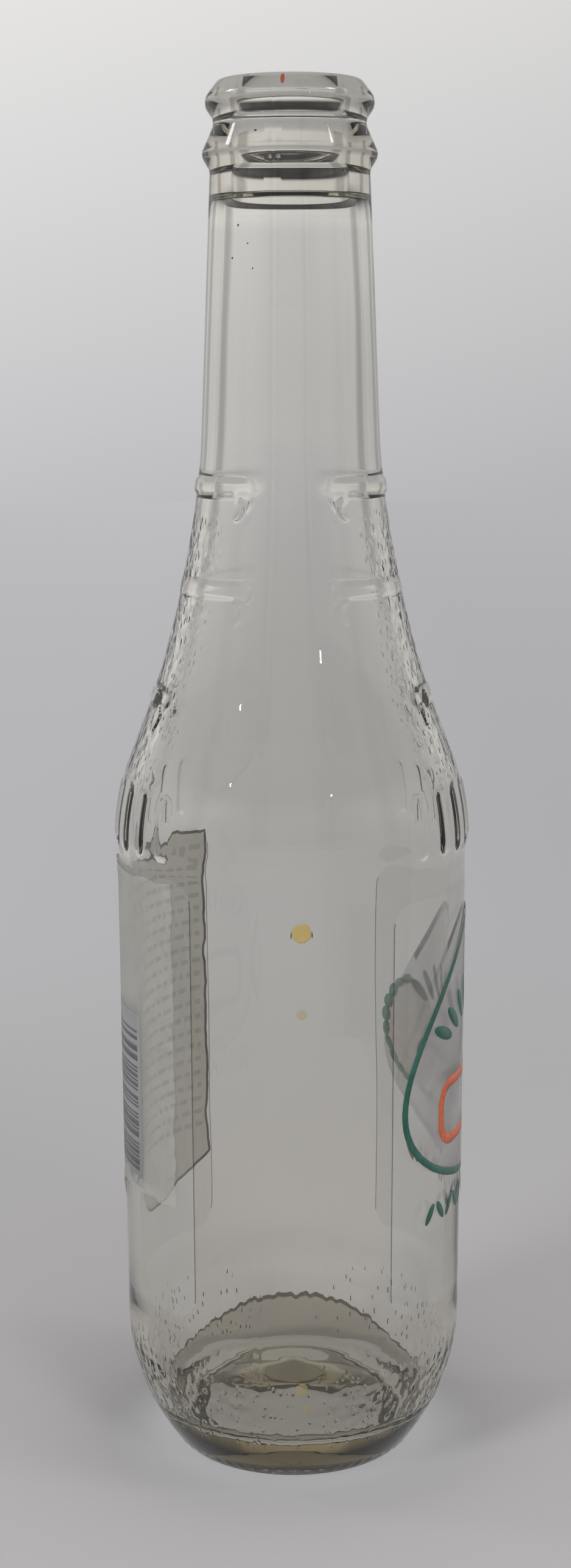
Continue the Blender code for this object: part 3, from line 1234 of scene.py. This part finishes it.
@dataclass
class BackPrint(LabelPrint):
    """Generic print of the back: a grey panel with torn edges and short dashes, and a white box of bars."""

    panel: tuple[float, float, float, float] = (-28.7 * MM, 25.3 * MM, 45.4 * MM, 106.6 * MM)
    torn_margin: Ramp = Ramp(4.0 * MM, 0.0)
    torn_seed: int = 145
    torn_fine: tuple[float, float] = (0.9 * MM, 0.315 * MM)
    torn_slow: tuple[float, float] = (6.0 * MM, 0.81 * MM)
    torn_line: float = 0.55 * MM
    torn_stop: float = -6.0 * MM
    droop: float = 6.0 * MM
    climb: Ramp = Ramp(-10.0 * MM, 8.0 * MM, 0.0, 11.6 * MM)
    foot_margin: Ramp = Ramp(14.0 * MM, 0.0)
    dash_rows: tuple[float, float] = (6.0 * MM, 3.0 * MM)
    dash_start: float = 1.6 * MM
    dash_stop: float = -4.0 * MM
    dash_height: float = 0.45 * MM
    dash_corner: float = 0.3 * MM
    dash_gap: float = 0.9 * MM
    row_pitch: float = 2.6 * MM
    box: tuple[float, float, float, float] = (-4.0 * MM, 16.0 * MM, 51.5 * MM, 82.5 * MM)
    box_corner: float = 1.0 * MM
    bar_margin: tuple[float, float] = (1.5 * MM, 3.0 * MM)
    bar_corner: float = 0.05 * MM

    def torn_sheet(self) -> bmesh.types.BMesh:
        """Draw the panel, whose border wanders as torn paper does and whose foot sags and climbs.

        Returns:
            Flat faces.
        """
        left, right, bottom, top = self.panel
        noise.seed_set(self.torn_seed)
        shape = bmesh.new()
        place = Matrix.Translation(((left + right) / 2, (bottom + top) / 2, 0.0))
        size = Matrix.Diagonal(((right - left) / 2, (top - bottom) / 2, 1.0, 1.0))
        bmesh.ops.create_grid(shape, x_segments=1, y_segments=1, size=1.0, matrix=place @ size)
        bmesh.ops.subdivide_edges(shape, edges=list(shape.edges), cuts=44, use_grid_fill=True)
        for vert in shape.verts:
            across, up, _ = vert.co
            edge = self.torn_margin.at(min(across - left, right - across, top - up, up - bottom))
            for size, reach in (self.torn_fine, self.torn_slow):
                vert.co += noise.noise_vector(Vector((across, up, 0.0)) / size) * (reach * edge)
            sag = min(0.5 * (across - left), self.droop) - self.climb.at(across)
            vert.co.y -= sag * self.foot_margin.at(up - bottom)
        return shape

    def dashes(self) -> bmesh.types.BMesh:
        """Draw rows of short plain dashes over the panel.

        Returns:
            Flat faces.
        """
        left, _, bottom, top = self.panel
        low, high = self.dash_rows
        shape = bmesh.new()
        dice = random.Random(11)
        height = bottom + low
        while height < top - high:
            place = left + self.dash_start
            while place < self.dash_stop:
                half = dice.uniform(0.5, 1.5) * MM
                rounded_sheet(shape, (place + half, height), (half, self.dash_height), self.dash_corner)
                place += 2 * half + self.dash_gap
            height += self.row_pitch
        return shape

    def bars(self, middle: float, half_width: float) -> bmesh.types.BMesh:
        """Draw plain bars of a few widths down the box.

        Args:
            middle: Middle of the bars, as distance round the bottle.
            half_width: Half of their width.

        Returns:
            Flat faces.
        """
        _, _, bottom, top = self.box
        shape = bmesh.new()
        dice = random.Random(7)
        height = bottom + self.bar_margin[1]
        while height < top - self.bar_margin[1]:
            half = dice.choice((0.17, 0.17, 0.33, 0.5)) * MM
            rounded_sheet(shape, (middle, height + half), (half_width, half), self.bar_corner)
            height += 2 * half + dice.choice((0.33, 0.33, 0.66, 1.0)) * MM
        return shape

    def build(self) -> list[bpy.types.Object]:
        """Print all layers.

        Returns:
            The pieces.
        """
        grey = Ink("grey_beige_ink", "#c8c2a8", "#d4cfbc", 0.55, 1.6 * MM, 0.35, 0.75, 1.1).make()
        frost = Ink("frosted_grey_ink", "#d0cfc4", "#dad9d0", 0.34, 1.6 * MM, 0.35, 0.3, 1.1).make()
        faint = Ink("faint_grey_ink", "#85847a", "#92918a", 0.13).make()
        edge = Ink("torn_dark_edge", "#41463a", "#5b6053", 0.8, mottle=0.5 * MM).make()
        white = Ink("translucent_white_ink_back", "#bfc0bf", "#cbccca", 0.6, through=0.5).make()
        dark = Ink("charcoal_ink", "#55575a", "#66686a", 0.8).make()
        torn = self.torn_sheet()
        inner = list(torn.faces)
        bmesh.ops.inset_region(torn, faces=inner, thickness=self.torn_line, use_boundary=True)
        inner = set(inner)
        for face in torn.faces:
            across = face.calc_center_median().x
            part = PanelFace.FROST if across > 0.0 else PanelFace.GREY
            if across < self.torn_stop and face not in inner:
                part = PanelFace.TORN
            face.material_index = part.value
        left, right, bottom, top = self.box
        middle, half = (left + right) / 2, (right - left) / 2
        box = bmesh.new()
        rounded_sheet(box, (middle, (bottom + top) / 2), (half, (top - bottom) / 2), self.box_corner)
        return [
            self.layer("back_print_dashes", self.dashes(), 0, faint),
            self.layer("back_print_panel", torn, 1, grey, frost, edge),
            self.layer("back_print_box", box, 2, white),
            self.layer("back_print_bars", self.bars(middle, half - self.bar_margin[0]), 3, dark),
        ]


# ----------------------------------------------------------------------------------------- residue


@dataclass(frozen=True)
class Mark:
    """One small mark on the glass: its angle from the plain side, its height, its half sizes and rise."""

    angle: float
    height: float
    width: float
    tall: float
    rise: float = 0.05 * MM


@dataclass
class Residue:
    """Small marks that the last drink left on the outside of the glass, and a tinted film inside whose rim is
    painted shade.

    The film is laid by rays from a ring inside the bottle, which swing down from its edge to the middle.
    """

    skin: BVHTree
    sides: int = 28
    insets: tuple[float, ...] = (0.12, 0.18, 0.3)
    wander: float = 0.22
    rim_edge: Ramp = Ramp(1.0, 0.86)
    rim_crest: Ramp = Ramp(0.6, 0.88, 0.35, 1.0)
    lift: float = 0.01 * MM
    thickness: float = 0.008 * MM
    film_steps: tuple[int, int] = (360, 40)
    film_lift: float = 0.03 * MM
    film_crown: float = 16.2 * MM
    film_fall: float = 16.2 * MM
    film_drop: float = 6.9 * MM
    film_pivot: float = 14.0 * MM
    film_radius: float = 26.5 * MM
    # painted shade: the share of the film, from its top edge, that takes the dark rim
    painted_shade_rim_share: float = 0.95
    film_fold: float = 0.5
    film_floor: float = math.radians(42)
    film_middle: float = math.radians(166)
    ragged: float = 0.9 * MM
    ragged_turns: float = 27.0

    def place(self, angle: float, height: float, lift: float) -> Vector:
        """Find the place just off the glass at an angle from the plain side and a height.

        Args:
            angle: Angle round the bottle from the plain side.
            height: Height.
            lift: Distance off the glass.

        Returns:
            The place.
        """
        outward = Vector((math.sin(angle), -math.cos(angle), 0.0))
        hit, normal, _, _ = self.skin.ray_cast(outward * 0.1 + Vector((0.0, 0.0, height)), -outward)
        return hit + normal * lift

    def film_place(self, turn: float, share: float) -> Vector:
        """Find a place of the film, whose ragged edge falls from the far side to the plain side.

        Args:
            turn: Angle round the bottle from the far side.
            share: How far up the film it lies, from -1 at the middle of the floor to 1 at the edge.

        Returns:
            The place.
        """
        way_out = Vector((math.cos(turn), math.sin(turn), 0.5))
        ragged = self.ragged * noise.noise(way_out * self.ragged_turns)
        drop = min(self.film_fall * (1.0 - math.cos(turn)), self.film_drop) - ragged
        edge = math.atan2(drop, self.film_radius - self.film_pivot)
        if share > self.film_fold:
            down = edge + (self.film_floor - edge) * (1.0 - share) / (1.0 - self.film_fold)
        else:
            fold = (self.film_fold - share) / (1.0 + self.film_fold)
            down = self.film_floor + (self.film_middle - self.film_floor) * fold
        outward = Vector((math.sin(turn), math.cos(turn), 0.0))
        start = outward * self.film_pivot + Vector((0.0, 0.0, self.film_crown))
        way = outward * math.cos(down) - Vector((0.0, 0.0, math.sin(down)))
        hit, normal, _, _ = self.skin.ray_cast(start, way)
        return hit + normal * self.film_lift

    def film(self, name: str, drinks: list[bpy.types.Material]) -> bpy.types.Object:
        """Lay the tinted film on the floor and the heel, whose dark rim is painted shade.

        Args:
            name: Name of the piece.
            drinks: Its materials, in the order of its face indices.

        Returns:
            The piece.
        """
        shape = bmesh.new()
        columns, rows = self.film_steps
        bmesh.ops.create_grid(shape, x_segments=columns, y_segments=rows, size=1.0)
        for face in shape.faces:
            share = face.calc_center_median().y
            part = DriedFace.HEEL if share > self.film_fold else DriedFace.FLOOR
            # painted shade: the top of the film takes the dark rim material
            face.material_index = (DriedFace.PAINTED_SHADE_RIM if share > self.painted_shade_rim_share else part).value
        for vert in shape.verts:
            vert.co = self.film_place(vert.co.x * math.pi, vert.co.y)
        bmesh.ops.remove_doubles(shape, verts=shape.verts, dist=WELD)
        bmesh.ops.recalc_face_normals(shape, faces=shape.faces)
        bmesh.ops.solidify(shape, geom=list(shape.faces), thickness=self.thickness)
        return add_piece(name, shape, drinks, Slot.GLASS)

    def build(self, name: str, marks: tuple[Mark, ...], drink: bpy.types.Material) -> bpy.types.Object:
        """Lay marks of one material.

        Args:
            name: Name of the piece.
            marks: The marks.
            drink: Their material.

        Returns:
            The piece.
        """
        shape = bmesh.new()
        for seed, mark in enumerate(marks):
            made = bmesh.ops.create_circle(shape, cap_ends=True, segments=self.sides, radius=1.0)
            face = made["verts"][0].link_faces[0]
            verts = set(made["verts"])
            for inset in self.insets:
                ring = bmesh.ops.inset_region(
                    shape, faces=[face], thickness=inset, use_boundary=True, use_even_offset=True
                )
                for part in ring["faces"]:
                    verts.update(part.verts)
            reach = self.place(mark.angle, mark.height, 0.0).xy.length
            for vert in verts:
                out = vert.co.length
                turn = math.atan2(vert.co.y, vert.co.x)
                way_out = Vector((math.cos(turn), math.sin(turn), 3.0 * seed))
                wander = 1.0 + self.wander * noise.noise(way_out)
                angle = mark.angle + vert.co.x * wander * mark.width / reach
                up = vert.co.y * wander * mark.tall
                rim = self.rim_edge.at(out) * self.rim_crest.at(out)
                vert.co = self.place(angle, mark.height + up, self.lift + rim * mark.rise)
        bmesh.ops.recalc_face_normals(shape, faces=shape.faces)
        bmesh.ops.solidify(shape, geom=list(shape.faces), thickness=self.thickness)
        return add_piece(name, shape, [drink], Slot.GLASS)


def residue(glass: bpy.types.Object) -> list[bpy.types.Object]:
    """Lay the marks that the last drink left, and the tinted film whose dark rim is painted shade.

    Args:
        glass: The finished glass.

    Returns:
        The pieces.
    """
    mesh = glass.data
    places = [vert.co for vert in mesh.vertices]
    marks = Residue(BVHTree.FromPolygons(places, [face.vertices for face in mesh.polygons]))
    pale = DriedDrink("dried_yellow_drink", "#e6c662", 0.6).make()
    faded = DriedDrink("dried_pale_drink", "#d3c08c", 0.4).make()
    orange = DriedDrink("dried_orange_drink", "#b4512a", 0.85).make()
    dark = DriedDrink("dried_dark_specks", "#3a3630", 0.8).make()
    drops = (Mark(0.052, 99.9 * MM, 1.65 * MM, 1.55 * MM),)
    faint = (
        Mark(0.052, 86.4 * MM, 0.9 * MM, 0.8 * MM, 0.03 * MM),
        Mark(0.045, 20.4 * MM, 1.1 * MM, 1.2 * MM),
        Mark(0.082, 16.6 * MM, 0.7 * MM, 0.9 * MM, 0.03 * MM),
    )
    specks = (
        Mark(-0.66, 208.0 * MM, 0.16 * MM, 0.2 * MM, 0.03 * MM),
        Mark(-0.52, 205.3 * MM, 0.13 * MM, 0.13 * MM, 0.03 * MM),
        Mark(-0.74, 203.2 * MM, 0.18 * MM, 0.16 * MM, 0.03 * MM),
        Mark(-0.45, 201.6 * MM, 0.11 * MM, 0.16 * MM, 0.03 * MM),
        Mark(-0.42, 221.6 * MM, 0.22 * MM, 0.16 * MM, 0.03 * MM),
        # two thin dark marks at the left and right ends of the yellow drop
        Mark(-0.006, 99.6 * MM, 0.08 * MM, 0.6 * MM, 0.08 * MM),
        Mark(0.109, 99.7 * MM, 0.08 * MM, 0.55 * MM, 0.08 * MM),
    )
    lip = (Mark(-0.09, 228.9 * MM, 0.32 * MM, 0.75 * MM, 0.04 * MM),)
    heel = DriedDrink("dried_drink_film", "#a59c7c", 0.42, 0.9, 1.05).make()
    # painted shade: this dark rim draws the dark ragged arc that the heel shows where its glass looks into
    # shade
    rim = DriedDrink("painted_shade_film_edge", "#746d58", 0.8, 0.9, 1.05).make()
    floor = DriedDrink("dried_drink_on_floor", "#a59c7c", 0.08, 0.9, 1.05).make()
    return [
        marks.film("heel_film_with_painted_shade_rim", [heel, rim, floor]),
        marks.build("dried_yellow_drop", drops, pale),
        marks.build("dried_pale_drops", faint, faded),
        marks.build("dried_specks", specks, dark),
        marks.build("dried_lip_mark", lip, orange),
    ]


# ------------------------------------------------------------------------------------------ studio


@dataclass
class Studio:
    """Pale sweep, plain soft light and the camera at the photograph's viewing angle."""

    low_tone: str = "#bbbbbe"
    high_tone: str = "#dfdedd"
    plain_tone: str = "#f4f5f7"
    plain_strength: float = 0.45
    rise: Ramp = Ramp(-0.055, 0.134)
    across: Ramp = Ramp(-0.12, 0.12, 1.07, 0.93)
    ceiling: Ramp = Ramp(0.21, 0.38, 1.0, 0.04)
    flags: Ramp = Ramp(-0.9, -0.4, 0.6, 1.0)
    flag_count: float = 8.0
    behind: Ramp = Ramp(-0.9, -0.4, 0.45, 1.0)
    mirrored: float = 0.7
    floor_radius: float = 3.0
    floor_far: Ramp = Ramp(0.6, 3.0)
    # painted shade: the floor's glow falls a little from left to right
    painted_shade_across_floor: Ramp = Ramp(-0.12, 0.12, 1.05, 0.95)
    floor_away: Ramp = Ramp(0.09, 0.4)
    # painted light: the share of glow under the bottle, for the light that the glass lets through
    painted_light_under_bottle: Ramp = Ramp(0.022, 0.036, 0.78, 0.0)
    paper_tone: str = "#b0adaa"
    glow_tone: str = "#b1b1b3"
    fibre: float = 0.6 * MM
    fibre_depth: float = 0.02 * MM
    lamp_tone: str = "#f7f9ff"
    aim: tuple[float, float, float] = (0.0, 0.0, 0.1)
    camera_distance: float = 0.39797
    camera_height: float = 0.18772
    pitch: float = math.radians(16.58)
    yaw: float = math.radians(0.177)
    roll: float = math.radians(-0.215)
    lens: float = 54.25
    shift: float = 0.1793

    def seen(self, tree: bpy.types.NodeTree) -> bpy.types.Node:
        """Pick the rays that see the backdrop: camera, glossy and transmission rays.

        Args:
            tree: Tree that takes the nodes.

        Returns:
            The node that gives 1 for these rays.
        """
        path = add_node(tree, "LightPath").outputs
        direct = {0: path["Is Camera Ray"], 1: path["Is Glossy Ray"]}
        some = {0: add_node(tree, "Math", direct, operation="MAXIMUM"), 1: path["Is Transmission Ray"]}
        return add_node(tree, "Math", some, operation="MAXIMUM")

    def strength(self, tree: bpy.types.NodeTree, axes: bpy.types.bpy_prop_collection) -> bpy.types.Node:
        """Set the sweep's strength: a fall across it, dark flags and a dark ceiling that glass mirrors pale.

        Args:
            tree: Tree that takes the nodes.
            axes: The direction's three parts.

        Returns:
            The node that gives the strength.
        """
        across = add_node(tree, "MapRange", self.across.inputs(axes["X"]))
        ceiling = add_node(tree, "MapRange", self.ceiling.inputs(axes["Z"]), interpolation_type="SMOOTHSTEP")
        turn = add_node(tree, "Math", {0: axes["X"], 1: axes["Y"]}, operation="ARCTAN2")
        turns = add_node(tree, "Math", {0: turn, 1: self.flag_count}, operation="MULTIPLY")
        wave = add_node(tree, "Math", {0: turns}, operation="COSINE")
        flags = add_node(tree, "MapRange", self.flags.inputs(wave), interpolation_type="SMOOTHSTEP")
        behind = add_node(tree, "MapRange", self.behind.inputs(axes["Y"]), interpolation_type="SMOOTHSTEP")
        dark = add_node(tree, "Math", {0: flags, 1: behind}, operation="MULTIPLY")
        path = add_node(tree, "LightPath").outputs
        shaded = add_node(tree, "Math", {0: dark, 1: path["Is Camera Ray"]}, operation="MAXIMUM")
        rays = {0: path["Is Glossy Ray"], 1: path["Is Transmission Ray"]}
        bounced = add_node(tree, "Math", rays, operation="SUBTRACT", use_clamp=True)
        shown = add_node(tree, "Math", {0: bounced, 1: self.mirrored}, operation="MULTIPLY")
        lit = add_node(tree, "Math", {0: ceiling, 1: shown}, operation="MAXIMUM")
        level = add_node(tree, "Math", {0: across, 1: lit}, operation="MULTIPLY")
        return add_node(tree, "Math", {0: level, 1: shaded}, operation="MULTIPLY")

    def world(self) -> None:
        """Build the world: plain light for the object, and a pale gradient with darker flags to be seen."""
        world = bpy.data.worlds.new("studio_sweep")
        bpy.context.scene.world = world
        world.use_nodes = True
        tree = world.node_tree
        tree.nodes.clear()
        way = add_node(tree, "TexCoord").outputs["Generated"]
        axes = add_node(tree, "SeparateXYZ", {"Vector": way}).outputs
        level = add_node(tree, "MapRange", self.rise.inputs(axes["Z"]))
        tones = {0: level, 6: linear(self.low_tone), 7: linear(self.high_tone)}
        tone = add_node(tree, "Mix", tones, data_type="RGBA").outputs[2]
        sweep = add_node(tree, "Background", {"Color": tone, "Strength": self.strength(tree, axes)})
        light = {"Color": linear(self.plain_tone), "Strength": self.plain_strength}
        both = {0: self.seen(tree), 1: add_node(tree, "Background", light), 2: sweep}
        add_node(tree, "OutputWorld", {"Surface": add_node(tree, "MixShader", both)})

    def floor(self) -> None:
        """Lay the pale paper floor, which takes the sweep's tone far away and, as painted light, under the
        bottle.
        """
        material, tree = new_material("matt_paper_sweep")
        place = add_node(tree, "TexCoord").outputs["Object"]
        axes = add_node(tree, "SeparateXYZ", {"Vector": place}).outputs
        away = add_node(tree, "VectorMath", {0: place}, operation="LENGTH").outputs["Value"]
        far = add_node(tree, "MapRange", self.floor_far.inputs(away))
        tones = {0: far, 6: linear(self.glow_tone), 7: linear(self.low_tone)}
        tone = add_node(tree, "Mix", tones, data_type="RGBA").outputs[2]
        # painted shade: the glow is made a little darker towards the right, for the shade that falls there
        across = add_node(tree, "MapRange", self.painted_shade_across_floor.inputs(axes["X"]))
        glow = add_node(tree, "Emission", {"Color": tone, "Strength": across})
        fibres = add_node(tree, "TexNoise", {"Vector": place, "Scale": 1 / self.fibre, "Detail": 3.0})
        bumps = {"Height": fibres, "Distance": self.fibre_depth, "Strength": 0.3}
        normal = add_node(tree, "Bump", bumps)
        surface = {"Base Color": linear(self.paper_tone), "Roughness": 0.75, "Normal": normal}
        paper = add_node(tree, "BsdfPrincipled", surface)
        fade = add_node(tree, "MapRange", self.floor_away.inputs(away), interpolation_type="SMOOTHSTEP")
        # painted light: the paper under the bottle takes the glow, a painted pool for the light that the
        # glass lets through
        under = add_node(tree, "MapRange", self.painted_light_under_bottle.inputs(away), interpolation_type="SMOOTHSTEP")
        lit = add_node(tree, "Math", {0: fade, 1: under}, operation="MAXIMUM")
        share = add_node(tree, "Math", {0: lit, 1: self.seen(tree)}, operation="MULTIPLY")
        both = add_node(tree, "MixShader", {0: share, 1: paper, 2: glow})
        add_node(tree, "OutputMaterial", {"Surface": both})
        shape = bmesh.new()
        bmesh.ops.create_circle(shape, cap_ends=True, segments=128, radius=self.floor_radius)
        add_piece("paper_floor", shape, [material], None)

    def lamp(
        self, name: str, place: tuple[float, float, float], size: float, watts: float, mirrored: bool
    ) -> None:
        """Hang a square lamp that faces the bottle.

        Args:
            name: Name of the lamp.
            place: Where it hangs.
            size: Length of its side.
            watts: Its power.
            mirrored: Whether the glass shows it as a highlight.
        """
        data = bpy.data.lights.new(name, "AREA")
        data.size = size
        data.energy = watts
        data.color = linear(self.lamp_tone)[:3]
        lamp = bpy.data.objects.new(name, data)
        lamp.visible_glossy = mirrored
        lamp.visible_transmission = False
        lamp.location = place
        lamp.rotation_euler = (Vector(self.aim) - Vector(place)).to_track_quat("-Z", "Y").to_euler()
        bpy.context.scene.collection.objects.link(lamp)

    def lamps(self) -> None:
        """Hang the overhead soft box, two side lamps and four small lamps for the highlights."""
        self.lamp("soft_box", (0.1, -0.15, 1.3), 0.7, 5.8, False)
        self.lamp("left_lamp", (-0.75, -0.75, 0.75), 0.3, 5.4, False)
        self.lamp("right_lamp", (0.45, -0.85, 0.75), 0.26, 2.6, False)
        self.lamp("left_sparkle", (-0.85, -0.85, 0.771), 0.02, 0.14, True)
        self.lamp("right_sparkle", (0.5, -0.95, 0.61), 0.02, 0.12, True)
        self.lamp("left_glint", (-0.931, 0.247, 0.935), 0.2, 1.1, True)
        self.lamp("right_glint", (0.792, -0.245, 1.088), 0.2, 1.2, True)

    def camera(self) -> None:
        """Place the camera where the photograph was taken from."""
        data = bpy.data.cameras.new("photo_camera")
        data.sensor_width = 36.0
        data.lens = self.lens
        data.shift_y = self.shift
        data.clip_start = 0.01
        data.clip_end = 50.0
        camera = bpy.data.objects.new("photo_camera", data)
        bpy.context.scene.collection.objects.link(camera)
        aim = Matrix.Rotation(self.yaw, 4, "Z") @ Matrix.Rotation(math.pi / 2 - self.pitch, 4, "X")
        place = Matrix.Translation((0.0, -self.camera_distance, self.camera_height))
        camera.matrix_world = place @ aim @ Matrix.Rotation(self.roll, 4, "Z")
        bpy.context.scene.camera = camera

    def build(self) -> None:
        """Set up the world, the floor, the lamps and the camera."""
        self.world()
        self.floor()
        self.lamps()
        self.camera()
        bpy.context.scene.view_settings.view_transform = "Standard"


def main() -> None:
    """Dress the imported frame."""
    logging.basicConfig(level=logging.INFO, format="%(name)s: %(message)s")
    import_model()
    container = Container()
    bottle = GlassBottle(CrownFinish(), container, MouldRelief(container.shoulder_foot))
    pieces = [bottle.build(FlintGlass().make())]
    front, back = Wrap(Side.FRONT), Wrap(Side.BACK)
    cut = Film("film_cut_edge", "#2c2d2f", 0.42).make()
    clear = Film("clear_front_film", "#dfe4e0", 0.05).make()
    veil = Film("clear_back_film", "#d6d8d2", 0.05).make()
    pieces.append(FilmLabel(front, 103.3 * MM).build("front_film", clear, cut, Slot.FRONT, "front_label"))
    pieces.append(FilmLabel(back, 107.2 * MM).build("back_film", veil, cut, Slot.BACK, "back_label"))
    pieces += FrontPrint(front, Slot.FRONT).build()
    pieces += BackPrint(back, Slot.BACK).build()
    pieces += residue(pieces[0])
    for piece in pieces:
        log.info("%s: %d faces", piece.name, len(piece.data.polygons))
    Studio().build()


if __name__ == "__main__":
    main()
